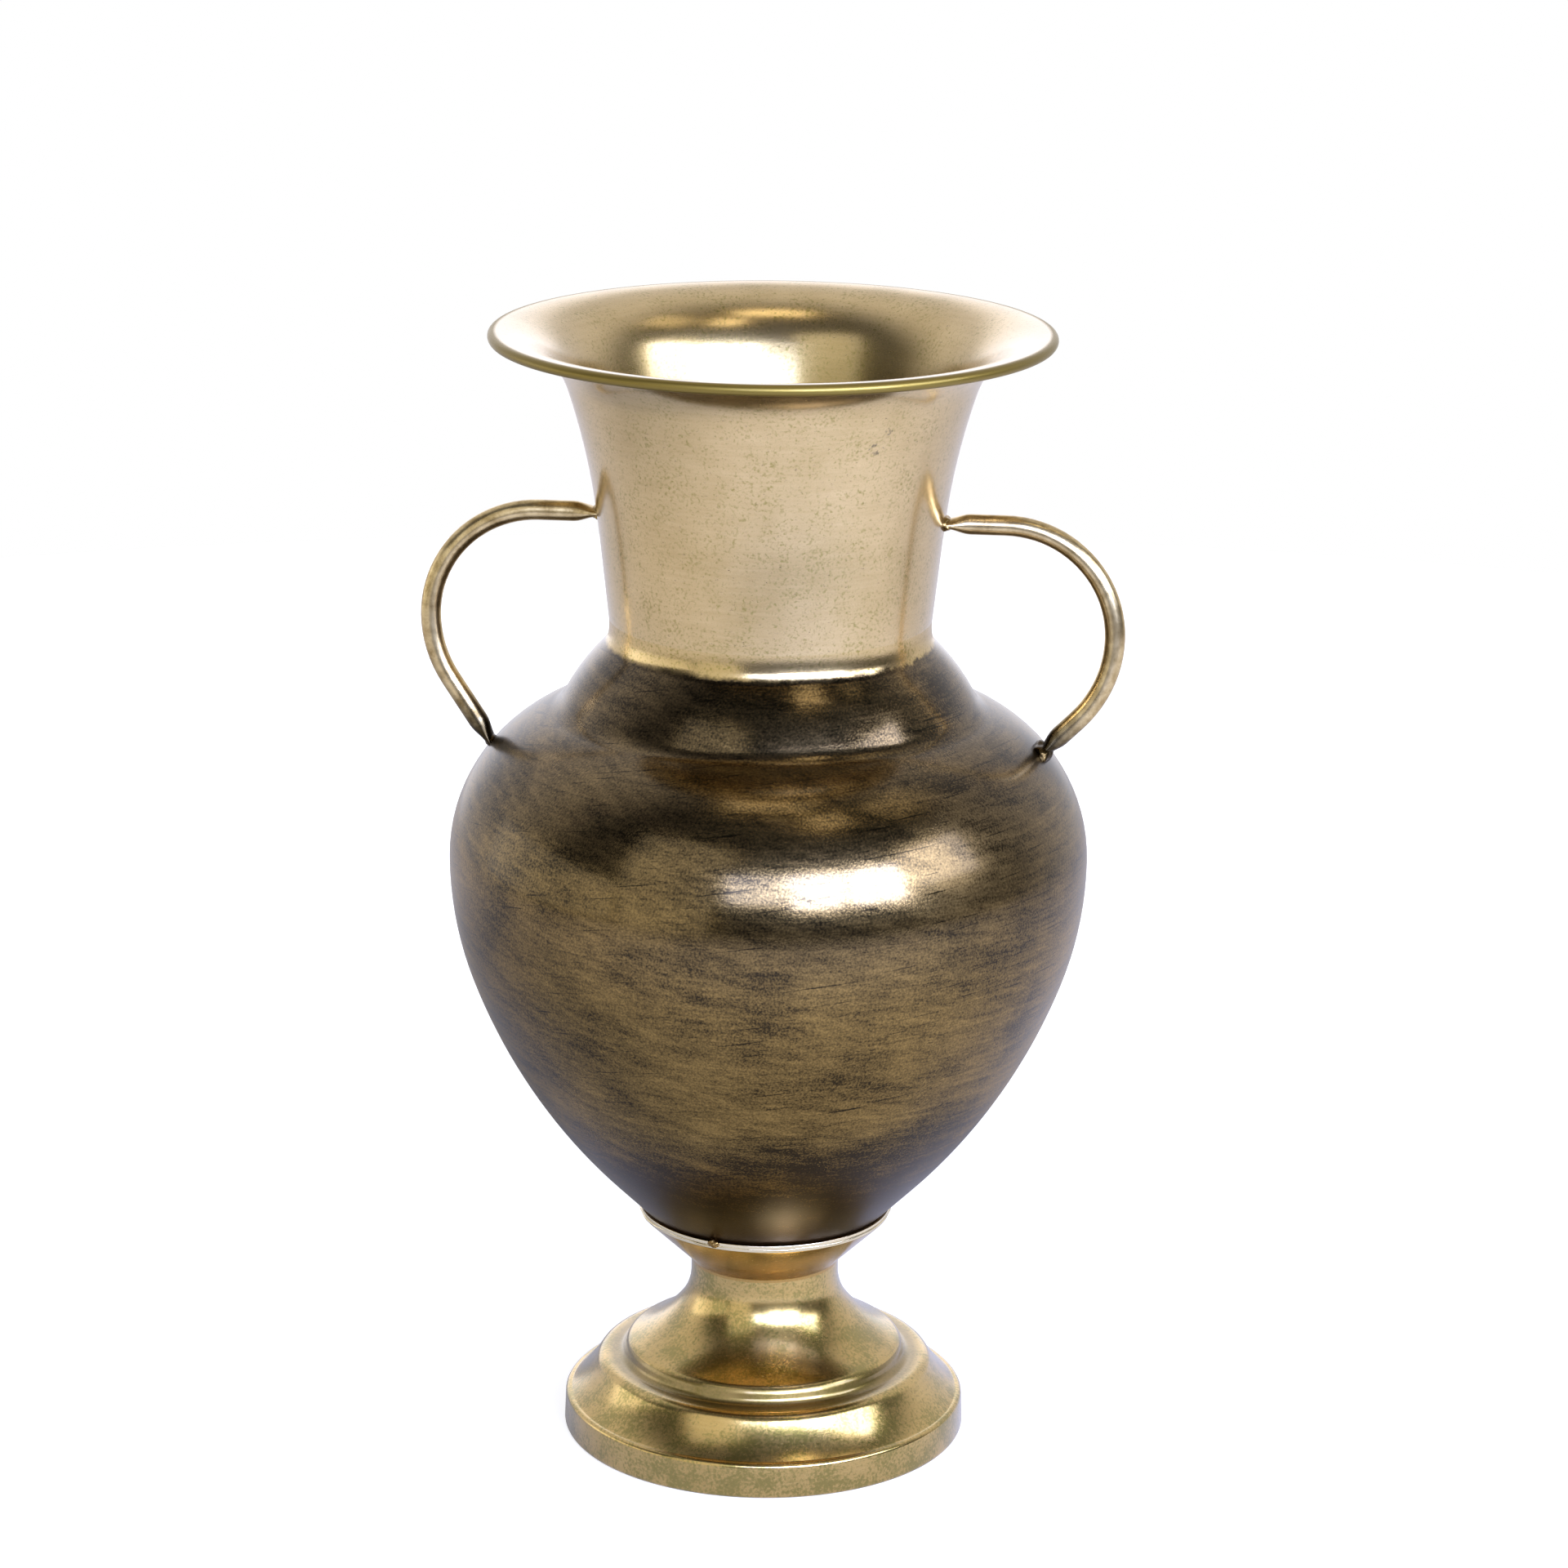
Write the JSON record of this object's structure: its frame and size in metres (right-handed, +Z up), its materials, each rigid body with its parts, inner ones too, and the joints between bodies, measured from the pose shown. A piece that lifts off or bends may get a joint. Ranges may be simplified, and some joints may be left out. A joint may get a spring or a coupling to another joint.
{
  "type": "urn vase",
  "caption": "Metal urn vase on a stepped pedestal foot, with a flared neck, a rolled rim and bent tube handles welded to the neck and the shoulder.",
  "frame": {"origin": "on the vase's axis, on the floor under the foot", "axes": "+Z up along the vase's axis, +X towards the right handle, -Y towards the viewer"},
  "size_m": [0.2086, 0.1898, 0.34],
  "materials": {
    "gold_lacquer": "spun brass sheet under a pale gold lacquer with dark specks",
    "bronze_patina": "brushed brass sheet with a dark bronze patina",
    "handle_tube": "drawn brass tube, sooty near its joints",
    "braze": "dark oxidised braze"
  },
  "bodies": {
    "root": {"foot": "gold_lacquer", "collar_cup": "gold_lacquer", "belly": "bronze_patina", "shoulder": "bronze_patina", "neck": "gold_lacquer", "handle_left": "handle_tube", "handle_right": "handle_tube", "weld_left_upper": "braze", "weld_left_lower": "braze", "weld_right_upper": "braze", "weld_right_lower": "braze", "collar_tacks": "braze"}
  },
  "joints": []
}
